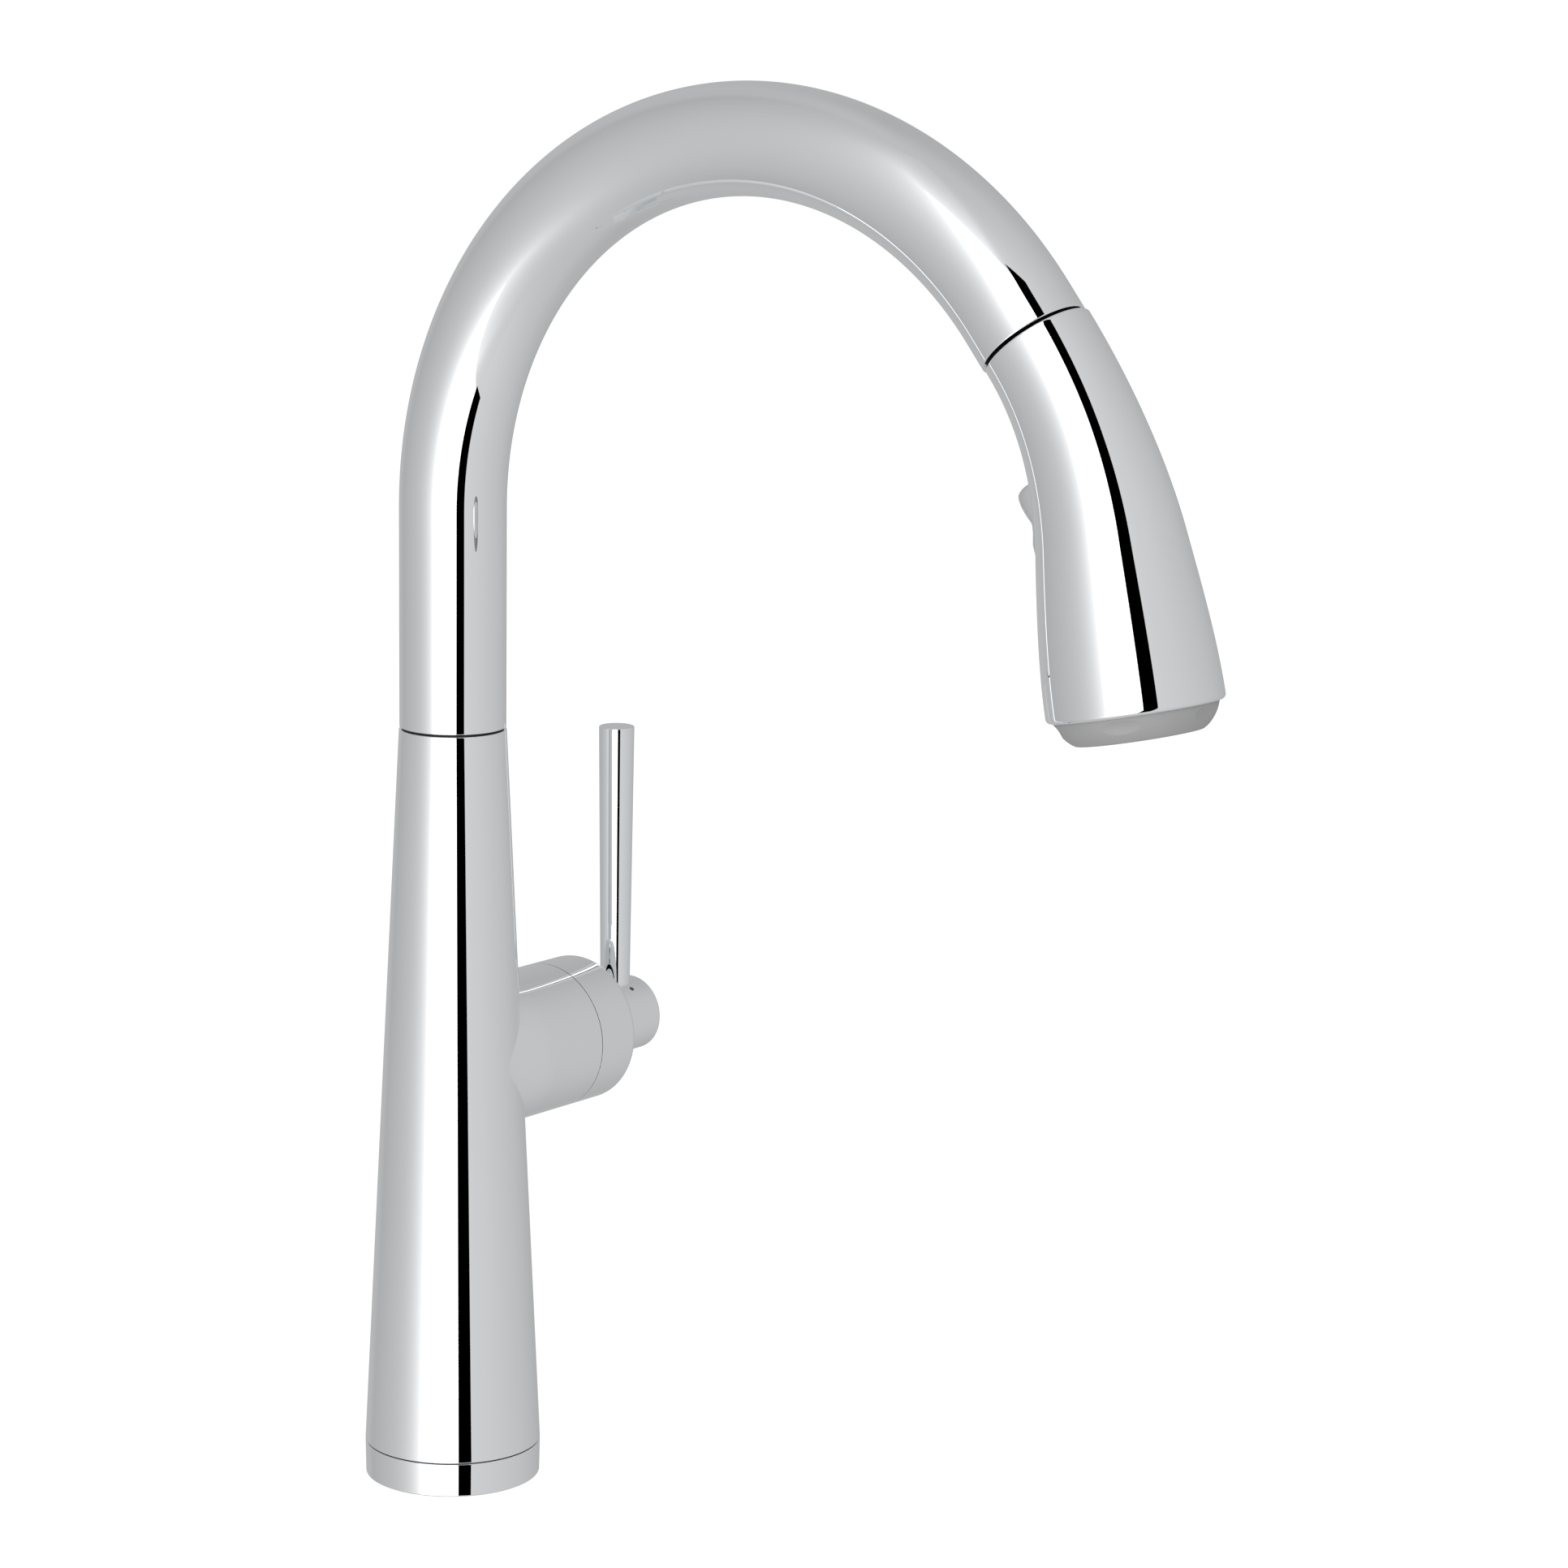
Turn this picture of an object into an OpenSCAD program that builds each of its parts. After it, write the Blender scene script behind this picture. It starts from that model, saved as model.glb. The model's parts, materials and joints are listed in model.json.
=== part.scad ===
// Pull-down kitchen faucet, deck mounted, with a side lever.
// The origin is on the body's axis at the top of the deck; the spout points along +X, the handle along +Y.

/* [Neck] */
// Outer radius of the neck tube
tube_r = 16; // [14:0.5:18]
// Wall of the neck tube
tube_wall = 1.2; // [1:0.1:1.5]
// Height at which the neck's bend starts
bend_z = 298.9; // [280:0.1:340]
// Radius of the bend, at the tube's axis
bend_r = 113.8; // [100:0.1:130]
// Angle that the neck turns through, from straight up
bend_angle = 141; // [130:1:150]
// Straight stretch at the neck's tip, which holds the dock
tip_len = 10; // [8:0.5:16]
// Swivel of the spout to each side
swivel_deg = 75; // [30:5:80]

/* [Body] */
// Height of the base ring
ring_h = 10.5; // [8:0.5:14]
// Radius of the base ring at the deck
ring_r = 26.6; // [25:0.1:30]
// Radius of the body just above the base ring
base_r = 26.8; // [25:0.1:30]
// Height of the seam between body and neck
body_h = 232.2; // [220:0.1:240]
// Radius of the body at that seam
body_top_r = 16.15; // [16.1:0.05:18]
// Wall of the body
body_wall = 2; // [1.5:0.1:2.5]

/* [Handle] */
// Height of the handle's axis
hub_z = 129.2; // [120:0.1:140]
// Radius of the valve housing and of its bonnet
hub_r = 22.6; // [22.2:0.1:24]
// Where the valve housing ends and the bonnet starts, from the body's axis
hub_end = 44; // [43.5:0.1:44.5]
// Where the bonnet ends
bonnet_end = 60.9; // [60:0.1:62]
// Centre of the ball that the handle tilts about
pivot_y = 57; // [56.5:0.1:57.5]
// Radius of the knob
knob_r = 11.7; // [11:0.1:12]
// Outer end of the knob
knob_end = 85.7; // [84:0.1:90]
// Distance of the lever from the body's axis
lever_y = 77; // [75:0.5:80]
// Height of the lever's top above the handle's axis
lever_top = 93.1; // [70:0.1:110]
// Radius of the lever where it leaves the knob
lever_r0 = 4.6; // [4:0.1:5]
// Radius of the lever at its top
lever_r1 = 5.55; // [4:0.05:7]

/* [Spray head] */
// Radius of the arc that the head's axis follows
head_r = 127.8; // [120:0.1:150]
// Angle of that arc
head_angle = 27; // [20:0.1:32]
// Straight stretch of the head after the arc
head_straight = 43.6; // [35:0.1:50]
// Radius of the head at its mouth
head_end_r = 24.4; // [23.5:0.1:26]
// Wall of the head's shell
shell_wall = 1.6; // [1.2:0.1:1.8]
// Gap between the neck's tip and the head
dock_gap = 1; // [0.6:0.1:1.2]
// Height of the dimpled ring below the head's mouth
bezel_h = 7; // [6:0.5:7]
// Radius of that ring at its upper edge
bezel_r = 22.6; // [22:0.1:23]
// How far the toggle stands out of the head
toggle_out = 4.8; // [3:0.1:5]

/* [Below the deck] */
// Outer radius of the threaded shank
shank_r = 17; // [16.5:0.1:17]
// Length of the shank below the deck
shank_len = 48; // [45:1:70]
// Thickness of the deck that the nut clamps
deck_t = 22; // [5:1:24]
// Outer radius of the copper water tubes
pipe_r = 4.76; // [4.5:0.01:4.76]
// Outer radius of the spray hose
hose_r = 5.2; // [4.8:0.1:5.2]

/* [Hidden] */
$fn = 96;
cut = 0.5;                       // how far a cutter runs past a face
seam_gap = 0.3;                  // gap at a seam between two shells
hull_fn = 32;
bore_r = tube_r - tube_wall;     // inside of the neck tube
neck_z0 = body_h + 2 * seam_gap; // lower edge of the neck tube
tip = [bend_r * (1 - cos(bend_angle)) + tip_len * sin(bend_angle), 0,
       bend_z + bend_r * sin(bend_angle) + tip_len * cos(bend_angle)];

// Swivel at the top of the body
bush_r = 14;                     // bore of the body around the swivel
bush_gap = 0.06;                 // running fit of the spigot in its bushes
spigot_r = 12.6;                 // swivel spigot
spigot_bore = 8.5;
spigot_z0 = 196;
spigot_top = 246;
stop_z = 211;                    // height of the stop screw
stop_r = 1.5;
groove_r = 10.6;
groove_w = 4;
groove_half = swivel_deg + 9;
oring_r = 1;
oring_z = 219;
split_z = 192;                   // where the hose in the body meets the hose in the spout

// Valve inside the hub, measured along the handle's axis from the body's axis
fairing_r = 21;                  // the housing starts inside the body and widens to the hub's radius
fairing_y = 22;
cavity_r = 19.4;                 // bore of the valve housing
block_y = [12.5, 24];
block_z = [hub_z - 24, hub_z - 5];
block_half = 13.4;
disc_r = 13.4;                   // ceramic discs and the rotor above them
port_r = 2.3;
port_at = [[-6.6, 9], [6.6, 9], [0, 9]]; // beside and below the handle's axis
port_hole_r = 2;
seal_w = 0.8;
pipe_pitch = 10.1;
pipe_at = [[-pipe_pitch * cos(30), pipe_pitch / 2], [pipe_pitch * cos(30), pipe_pitch / 2], [0, pipe_pitch]];
pipe_top = block_z[0] + 8;
pipe_bore = 3.8;
collar_top = 47.5;               // outer end of the cartridge's collar
rotor_r = 7.3;
rotor_end = 60.5;
slot_half = 3.3;
tilt_pin_r = 1.5;
stem_r = 2.8;
ball_r = 14.2;
ball_gap = 0.4;
ball_in = 5;                     // how far the ball reaches inwards from its centre
ball_cavity = 9.8;
rod_hole_r = 3;
mark_r = 0.8;
mark_y = 77.4;
mark_angle = 34;
mark_depth = 0.5;

// Dock and spray head, measured along the head's axis from the neck's tip
head_r0 = 16.1;                  // radius of the head at the seam
head_shift = 0.6;                // how far the head's axis starts outside the tube's axis
dock_bore = 11.1;
stub_r = 10.8;
stub_bore = 6.4;
magnet_t = 3.3;
head_arc = head_r * head_angle * PI / 180;
head_len = head_arc + head_straight;
valve_s = 47.8;                  // station of the diverter and of the toggle
toggle_len = 21;
toggle_w = 13;
toggle_gap = 0.6;                // around the toggle in its opening
rock_x = 13.5;                   // the toggle's pin, from the head's axis
spool_z = 5;                     // the diverter's spool, from the toggle's pin along the axis
rock_pin_r = 1.2;
ear_y = 3.9;                     // inner side of the ears that hold the toggle's pin
ear_t = 2.3;
spool_r = 2.6;
way_r = 4.4;                     // waterways inside the head
way_bore = 3;
check_s = 14;                    // station of the check valve
check_len = 11;
valve_half = 8.5;                // half the length of the diverter's body
engine_r = 22;
engine_h = 13.6;
plate_r = 16.3;                  // nozzle plate
bezel_curve = 12;                // radius of the ring's rounded side
bezel_rise = 3;                  // centre of that rounding above the head's mouth
dimple_n = 5;
dimple_turn = 176;               // first dimple, from the side towards the riser
dimple_r = 6;                    // radius of the cylinder that cuts a dimple
dimple_at = [26.2, 5.07];        // its axis, from the head's axis and below the mouth

// Hardware below the deck
shank_bore = 15;
washer_r = 25;
washer_t = 3;
nut_h = 10;
jack_r = 1.8;                    // jack screws in the nut
pipe_end = -68;
hose_end = -78;
hose_bore = 3.6;
hose_turn = 138.2;               // where on the bend the hose in the neck ends
fitting_len = 18;
foot_r = 24.2;                   // brass foot that joins the body to the shank
foot_top = 22;

// ---- Shared shapes ----

// A body of revolution about Z from [radius, height] points
module turned(points) rotate_extrude() polygon(points);

// A tube about Z from z0 to z1
module ring(r_out, r_in, z0, z1)
    turned([[r_in, z0], [r_out, z0], [r_out, z1], [r_in, z1]]);

// A tube about Z with small chamfers on its outer edges
module chamfered_ring(r_out, r_in, z0, z1, c)
    turned([[r_in, z0], [r_out - c, z0], [r_out, z0 + c], [r_out, z1 - c], [r_out - c, z1], [r_in, z1]]);

// Points of an arc about a centre
function arc(centre, r, a0, a1, n) =
    [for (i = [0:n]) let (a = a0 + (a1 - a0) * i / n) centre + r * [cos(a), sin(a)]];

// Radius of the body's outside at a height
function body_radius(z) = base_r + (body_top_r - base_r) * (z - ring_h) / (body_h - ring_h);

// The handle's axis becomes Z, and the deck's up becomes -Y
module on_hub() translate([0, 0, hub_z]) rotate([-90, 0, 0]) children();

// The neck's tip becomes the origin, with Z along the tube and +X on the inside of the bend
module at_tip() translate(tip) rotate([0, bend_angle, 0]) children();

// A tube along an arc that starts at the origin along +Z and turns towards +X, from angle a0 to a1, and
// then runs straight for the length past
module bend(axis_r, a0, a1, r_out, r_in, past)
    translate([axis_r, 0, 0]) rotate([90, 0, 0]) rotate([0, 0, 180 - a1]) {
        rotate_extrude(angle = a1 - a0) translate([axis_r, 0]) difference() {
            circle(r = r_out);
            circle(r = r_in);
        }
        if (past > 0) translate([axis_r, 0, 0]) rotate([90, 0, 0]) ring(r_out, r_in, 0, past);
    }

// A tube along the neck's axis from height z0, through the bend and straight for the length past
module neck_sweep(r_out, r_in, z0, past) {
    ring(r_out, r_in, z0, bend_z);
    translate([0, 0, bend_z]) bend(bend_r, 0, bend_angle, r_out, r_in, past);
}

// ---- The head's own axis: an arc, then a straight stretch ----

function turn_at(s) = min(s, head_arc) / head_r * 180 / PI;
function head_at(s) = let (a = turn_at(s), rest = max(s - head_arc, 0))
    [head_r * (1 - cos(a)) + rest * sin(a) - head_shift, 0, head_r * sin(a) + rest * cos(a)];
function head_radius(s) = let (u = pow(min(max(s, 0) / head_len, 1), 1.13))
    head_r0 + (head_end_r - head_r0) * (3 - 2 * u) * u * u;
function head_point(s, r, a) = let (t = turn_at(s))
    head_at(s) + r * [cos(a) * cos(t), sin(a), -cos(a) * sin(t)];

// Moves to a station of the head's axis, with Z along the axis
module at_head(s) at_tip() translate(head_at(s)) rotate([0, turn_at(s), 0]) children();

// A tube along the head's axis from s0, in the arc, to s1
module head_tube(r_out, r_in, s0, s1)
    at_tip() translate([-head_shift, 0, 0])
        bend(head_r, turn_at(s0), turn_at(s1), r_out, r_in, max(s1 - head_arc, 0));

// ---- Body ----

module base_gasket() color("dimgray") ring(24.2, 19, 0, 5.6);

module base_ring() color("silver")
    turned([[17.3, 6], [24.4, 6], [24.4, 0], [ring_r - 0.3, 0], [ring_r, 0.3],
            [base_r, ring_h - seam_gap], [17.3, ring_h - seam_gap]]);

module base_seal() color("black") ring(base_r - 0.4, foot_r + 0.2, ring_h - seam_gap, ring_h);

module body_foot() color("goldenrod") ring(foot_r, shank_r, ring_h - seam_gap, foot_top);

module body_shell() color("silver") difference() {
    turned([[base_r - body_wall, ring_h], [base_r, ring_h], [body_top_r, body_h - 0.3],
            [body_top_r - 0.3, body_h], [bush_r, body_h], [bush_r, spigot_z0 - 4],
            [body_radius(spigot_z0 - 8) - body_wall, spigot_z0 - 8]]);
    on_hub() cylinder(r = cavity_r, h = base_r);
    translate([-tube_r - 5, 0, stop_z]) rotate([0, 90, 0]) cylinder(r = stop_r, h = 10);
}

module swivel_bush_lower() color("ivory")
    ring(bush_r, spigot_r + bush_gap, spigot_z0 + 1, spigot_z0 + 9);
module swivel_bush_upper() color("ivory")
    ring(bush_r, spigot_r + bush_gap, body_h - 8, body_h - 1.2);
module spout_washer() color("black") ring(15.3, 13, body_h, body_h + 0.4);

module spout_stop_screw() color("dimgray")
    translate([-body_radius(stop_z) + 0.3, 0, stop_z]) rotate([0, 90, 0]) difference() {
        cylinder(r = stop_r, h = body_radius(stop_z) - 0.3 - 11.2);
        translate([0, 0, -cut]) cylinder(r = 0.8, h = 2, $fn = 6);
    }

// ---- Valve ----

// The body's outside as a solid, to cut the saddle of the valve housing
module body_cone() translate([0, 0, ring_h]) cylinder(r1 = base_r, r2 = body_top_r, h = body_h - ring_h);

module valve_housing() color("silver") difference() {
    on_hub() turned([[cavity_r, 0], [fairing_r, 0], [hub_r, fairing_y], [hub_r, hub_end - seam_gap / 2],
                     [cavity_r, hub_end - seam_gap / 2]]);
    body_cone();
}

module bonnet() color("silver") on_hub() {
    rim = 2.5;
    low = hub_end + seam_gap / 2;
    turned(concat([[17.6, 40.4], [19.3, 40.4], [19.3, low], [hub_r, low]],
                  arc([hub_r - rim, bonnet_end - rim], rim, 0, 90, 8),
                  [[ball_r + ball_gap, bonnet_end], [ball_r + ball_gap, bonnet_end - 2],
                   [20.2, bonnet_end - 2], [20.2, low + 1.5], [17.6, low + 1.5]]));
}

module bonnet_gasket() color("black") on_hub()
    ring(hub_r - 0.05, cavity_r, hub_end - seam_gap / 2, hub_end + seam_gap / 2);

// Each pipe's bore rises behind its port and meets it
module valve_block() color("goldenrod") difference() {
    union() {
        on_hub() translate([0, 0, block_y[0]]) cylinder(r = cavity_r - 0.1, h = block_y[1] - block_y[0]);
        translate([-block_half, 1, block_z[0]]) cube([2 * block_half, block_y[0], block_z[1] - block_z[0]]);
    }
    translate([0, 0, block_z[0] - cut]) cylinder(r = hose_r + 0.15, h = 24);
    for (i = [0:2]) {
        translate([pipe_at[i][0], pipe_at[i][1], block_z[0] - cut]) {
            cylinder(r = pipe_r, h = pipe_top - block_z[0] + cut);
            cylinder(r = pipe_bore, h = block_z[1] - block_z[0] - 2);
        }
        on_hub() translate([port_at[i][0], port_at[i][1], pipe_at[i][1]])
            cylinder(r = port_r, h = block_y[1]);
    }
}

module inlet_seals() color("black") on_hub()
    for (p = port_at) translate([p[0], p[1], block_y[1]]) ring(port_r + seal_w, port_r, 0, 0.3);

module cartridge_body() color("gainsboro") on_hub() difference() {
    turned([[0, 24.3], [17.4, 24.3], [17.4, 30], [18.8, 30], [18.8, 33], [17.4, 33], [15.2, 33.01],
            [15.2, collar_top], [10.2, collar_top], [10.2, 44], [13.6, 44], [13.6, 26.5], [0, 26.5]]);
    for (p = port_at) translate([p[0], p[1], block_y[1]]) cylinder(r = port_hole_r, h = 6);
}

module cartridge_nut() color("goldenrod") on_hub() difference() {
    chamfered_ring(19.2, 15.4, 33, 40, 0.4);
    for (a = [0:60:300]) rotate([0, 0, a]) translate([19.2, 0, 38]) cylinder(r = 1.6, h = 4);
}

module ceramic_disc_fixed() color("white") on_hub() difference() {
    translate([0, 0, 26.5]) cylinder(r = disc_r, h = 3);
    for (p = port_at) translate([p[0], p[1], block_y[1]]) cylinder(r = port_hole_r, h = 10);
}

// ---- Pipes and hose ----

module pipe(i) translate([pipe_at[i][0], pipe_at[i][1], 0]) ring(pipe_r, pipe_bore, pipe_end, pipe_top);

module cold_pipe() color("peru") pipe(0);
module hot_pipe() color("peru") pipe(1);
module outlet_pipe() color("peru") pipe(2);

module hose_in_body() color("gray") ring(hose_r, hose_bore, hose_end, split_z - 0.3);

module hose_end_fitting() color("goldenrod")
    turned([[hose_bore, hose_end], [8, hose_end], [8, hose_end - 8], [6, hose_end - 9],
            [6, hose_end - fitting_len + 0.6], [5.4, hose_end - fitting_len],
            [hose_bore, hose_end - fitting_len]]);

// The hose stops short of the tip, where the dock's magnet starts
module hose_in_neck() color("gray") {
    ring(hose_r, hose_bore, split_z, bend_z);
    translate([0, 0, bend_z]) bend(bend_r, 0, hose_turn, hose_r, hose_bore, 0);
}

// ---- Below the deck ----

module shank() color("goldenrod")
    turned([[shank_bore, -shank_len], [shank_r - 0.8, -shank_len], [shank_r, 0.8 - shank_len],
            [shank_r, foot_top], [shank_bore, foot_top]]);

module deck_washer_rubber() color("black") ring(washer_r, shank_r + 0.3, -deck_t - washer_t, -deck_t);
module deck_washer_steel() color("silver")
    ring(washer_r, shank_r + 0.3, -deck_t - washer_t - 1.5, -deck_t - washer_t);

nut_top = -deck_t - washer_t - 1.5 - 2;

module mounting_nut() color("goldenrod") translate([0, 0, nut_top - nut_h])
    linear_extrude(nut_h) difference() {
        union() {
            circle(r = 23);
            rotate(45) square([54, 10], center = true);
        }
        circle(r = shank_r);
        for (a = [135, 315]) rotate(a) translate([20, 0]) circle(r = jack_r);
    }

module jack_screws() color("dimgray")
    for (a = [135, 315]) rotate([0, 0, a]) translate([20, 0, nut_top + 2 - 18]) {
        cylinder(r = jack_r, h = 18);
        translate([0, 0, -4]) cylinder(r = 2.6, h = 4);
    }

// ---- Moving inside of the valve ----

module cartridge_rotor() color("slategray") on_hub() difference() {
    union() {
        translate([0, 0, 36]) cylinder(r = disc_r - 0.1, h = 7.7);
        translate([0, 0, 36]) cylinder(r = rotor_r, h = rotor_end - 36);
    }
    translate([-slot_half, -11, 36 - cut]) cube([2 * slot_half, 22, rotor_end]);
    translate([-base_r, 0, pivot_y]) rotate([0, 90, 0]) cylinder(r = tilt_pin_r, h = 2 * base_r);
}

module tilt_pin() color("silver") on_hub()
    translate([1 - rotor_r, 0, pivot_y]) rotate([0, 90, 0]) cylinder(r = tilt_pin_r, h = 2 * rotor_r - 2);

module ceramic_disc_moving() color("white") on_hub() difference() {
    translate([0, 0, 29.7]) cylinder(r = 11, h = 3);
    translate([0, -3, 29]) cylinder(r = 3.4, h = 2);
}

// ---- Handle ----

module cartridge_stem() color("silver") on_hub() difference() {
    translate([0, 0, 34]) cylinder(r = stem_r, h = pivot_y + 16 - 34);
    translate([-base_r, 0, pivot_y]) rotate([0, 90, 0]) cylinder(r = tilt_pin_r + 0.05, h = 2 * base_r);
}

// Ball and knob as [radius, distance from the ball's centre]
knob_start = sqrt(ball_r * ball_r - knob_r * knob_r);
ball_low = asin(-ball_in / ball_r);
knob_len = knob_end - pivot_y;

module handle_knob() color("silver") on_hub() difference() {
    translate([0, 0, pivot_y]) turned(concat(
        arc([0, 0], ball_r, ball_low, asin(knob_start / ball_r), 12),
        arc([knob_r - 0.8, knob_len - 0.8], 0.8, 0, 90, 4),
        [[0, knob_len]], arc([0, 0], ball_cavity, 90, 0, 12), [[ball_cavity + 0.2, -ball_in]]));
    translate([0, 0, pivot_y]) cylinder(r = stem_r, h = 16);
    translate([0, -knob_r - cut, lever_y]) rotate([-90, 0, 0]) cylinder(r = rod_hole_r, h = 7 + cut);
    translate([0, -7.5, lever_y]) cylinder(r = 1.6, h = knob_end - lever_y + cut);
    for (a = [-mark_angle, mark_angle]) rotate([0, 0, a]) translate([0, -knob_r - cut, mark_y])
        rotate([-90, 0, 0]) cylinder(r = mark_r, h = mark_depth + cut);
}

module lever_rod() color("silver") on_hub() {
    difference() {
        translate([0, -7, lever_y]) rotate([90, 0, 0]) turned(concat(
            [[0, 0], [lever_r0, 0]], [[lever_r1, lever_top - 7.5], [lever_r1 - 0.5, lever_top - 7],
            [0, lever_top - 7]]));
        cylinder(r = knob_r, h = knob_end + 10);
    }
    translate([0, -4.5, lever_y]) rotate([90, 0, 0]) cylinder(r = rod_hole_r, h = 8);
}

module lever_set_screw() color("dimgray") on_hub() translate([0, -7.5, 0]) difference() {
    translate([0, 0, lever_y + rod_hole_r]) cylinder(r = 1.6, h = 4.5);
    translate([0, 0, lever_y + rod_hole_r + 2.5]) cylinder(r = 0.8, h = 4, $fn = 6);
}

module index_marks() color("black") on_hub() for (a = [-mark_angle, mark_angle]) rotate([0, 0, a])
    translate([0, -knob_r, mark_y]) rotate([-90, 0, 0]) cylinder(r = mark_r, h = mark_depth);

// ---- Spout ----

module neck_tube() color("silver") neck_sweep(tube_r, bore_r, neck_z0, tip_len - dock_gap);

module neck_spigot() color("goldenrod") difference() {
    turned([[spigot_bore, spigot_z0], [spigot_r, spigot_z0], [spigot_r, oring_z - 1.1],
            [spigot_r - 0.8, oring_z - 1.1], [spigot_r - 0.8, oring_z + 1.1], [spigot_r, oring_z + 1.1],
            [spigot_r, neck_z0], [bore_r, neck_z0], [bore_r, spigot_top], [spigot_bore, spigot_top]]);
    rotate([0, 0, 180 - groove_half]) rotate_extrude(angle = 2 * groove_half)
        translate([groove_r, stop_z - groove_w / 2]) square([groove_r, groove_w]);
}

module swivel_o_ring() color("black") translate([0, 0, oring_z])
    rotate_extrude() translate([spigot_r - 0.8 + oring_r, 0]) circle(r = oring_r, $fn = 32);

module dock_collar() color("dimgray") at_tip() difference() {
    turned([[7.4, -20], [13.2, -20], [13.2, -10], [bore_r, -tip_len + 0.2], [bore_r, -dock_gap - 0.4],
            [dock_bore + 0.6, -dock_gap - 0.4], [dock_bore, -dock_gap - 1.2], [dock_bore, -18.5],
            [7.4, -18.5]]);
}

module dock_magnet() color("gray") at_tip() ring(dock_bore, 7.4, -18.5, -18.5 + magnet_t);

// ---- Spray head ----

// A closed shell along the head's axis, with the outer wall and the inner wall as rings of points
shell_sides = 40;
shell_rings = 22;
shell_s = [for (i = [0:shell_rings]) head_len * i / shell_rings];

function shell_points() = [
    for (s = shell_s) for (k = [0:shell_sides - 1]) head_point(s, head_radius(s), 360 * k / shell_sides),
    for (s = shell_s) for (k = [0:shell_sides - 1])
        head_point(s, head_radius(s) - shell_wall, 360 * k / shell_sides)
];
function quad(a, b, c, d) = [[a, b, c], [a, c, d]];
function shell_faces() = let (n = shell_sides, m = shell_rings, inner = n * (m + 1)) [
    for (i = [0:m - 1]) for (k = [0:n - 1]) let (j = (k + 1) % n)
        each concat(
            quad(i * n + k, i * n + j, (i + 1) * n + j, (i + 1) * n + k),
            quad(inner + i * n + j, inner + i * n + k, inner + (i + 1) * n + k, inner + (i + 1) * n + j)),
    for (k = [0:n - 1]) let (j = (k + 1) % n)
        each concat(
            quad(k, inner + k, inner + j, j),
            quad(m * n + k, m * n + j, inner + m * n + j, inner + m * n + k))
];

module head_shell() color("silver") difference() {
    at_tip() polyhedron(points = shell_points(), faces = shell_faces());
    at_head(valve_s) translate([rock_x - 4, -toggle_w / 2 - toggle_gap, -toggle_len / 2 - toggle_gap])
        cube([12, toggle_w + 2 * toggle_gap, toggle_len + 2 * toggle_gap]);
}

module head_dock_stub() color("dimgray") at_tip()
    turned([[stub_bore, -11.5], [stub_r, -11.5], [stub_r, -0.2], [13.6, 0.4], [13.6, 6], [stub_bore, 6]]);

module dock_keeper() color("silver") at_tip() ring(stub_r, stub_bore, -15, -11.5);

module hose_in_head() color("gray") at_tip() ring(hose_r, hose_bore, -15, 6);

module hose_nut() color("goldenrod") at_tip() difference() {
    translate([0, 0, 6]) cylinder(r = 8, h = 7, $fn = 6);
    translate([0, 0, 5]) cylinder(r = hose_bore, h = 10);
}

module check_valve() color("white") at_head(check_s) difference() {
    union() {
        cylinder(r = 6.5, h = check_len - 2);
        cylinder(r = 5.2, h = check_len);
    }
    translate([0, 0, -cut]) cylinder(r = way_bore, h = check_len + 2 * cut);
}

module upper_waterway() color("ivory")
    head_tube(way_r, way_bore, check_s + check_len + 0.3, valve_s - valve_half - 0.3);

module diverter_body() color("ivory") at_head(valve_s) difference() {
    union() {
        translate([0, 0, -valve_half]) cylinder(r = 8, h = 2 * valve_half);
        for (y = [ear_y, -ear_y - ear_t]) translate([4, y, -2.2]) cube([rock_x - 2.2, ear_t, 4.4]);
    }
    translate([0, 0, -valve_half - cut]) cylinder(r = way_bore, h = 2 * (valve_half + cut));
    translate([-5.5, 0, spool_z]) rotate([0, 90, 0]) cylinder(r = spool_r + 0.05, h = 20);
    translate([rock_x, -10, 0]) rotate([-90, 0, 0]) cylinder(r = rock_pin_r, h = 20);
}

module lower_waterway() color("ivory")
    head_tube(way_r, way_bore, valve_s + valve_half + 0.3, head_len - engine_h - 0.2);

module toggle_pin() color("silver") at_head(valve_s)
    translate([rock_x, ear_y + ear_t, 0]) rotate([90, 0, 0])
        cylinder(r = rock_pin_r, h = 2 * (ear_y + ear_t));

module spray_engine() color("dimgray") at_head(head_len) difference() {
    translate([0, 0, -engine_h]) union() {
        cylinder(r = 20.6, h = 5);
        translate([0, 0, 5]) cylinder(r = engine_r, h = 8);
    }
    translate([0, 0, -15]) cylinder(r = way_bore, h = 10);
    translate([0, 0, -8.5]) cylinder(r = 15, h = 9);
}

// Rounded ring with finger dimples that unscrews from the head's mouth
module spray_bezel() color("darkgray") at_head(head_len) difference() {
    inside = plate_r + 0.1;
    centre = [bezel_r - sqrt(bezel_curve * bezel_curve - bezel_rise * bezel_rise), -bezel_rise];
    turned(concat([[inside, -0.5], [bezel_r, -0.5]],
                  arc(centre, bezel_curve, asin(bezel_rise / bezel_curve),
                      asin((bezel_rise + bezel_h - 0.3) / bezel_curve), 12),
                  [[bezel_r - 5.2, bezel_h], [inside, bezel_h]]));
    for (i = [1:dimple_n]) rotate([0, 0, dimple_turn + 360 * i / dimple_n])
        translate([dimple_at[0], 0, dimple_at[1]]) rotate([90, 0, 0])
            cylinder(r = dimple_r, h = bezel_r, center = true);
}

nozzle_rings = [[14, 20], [11, 14]]; // [pitch radius, count]

module nozzle_plate() color("gray") at_head(head_len) difference() {
    translate([0, 0, -0.2]) cylinder(r = plate_r, h = 5);
    for (n = nozzle_rings) for (i = [1:n[1]]) rotate([0, 0, 360 * i / n[1]])
        translate([n[0], 0, -1]) cylinder(r = 0.9, h = 8);
    translate([0, 0, -1]) cylinder(r = 7.6, h = 8);
}

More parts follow.
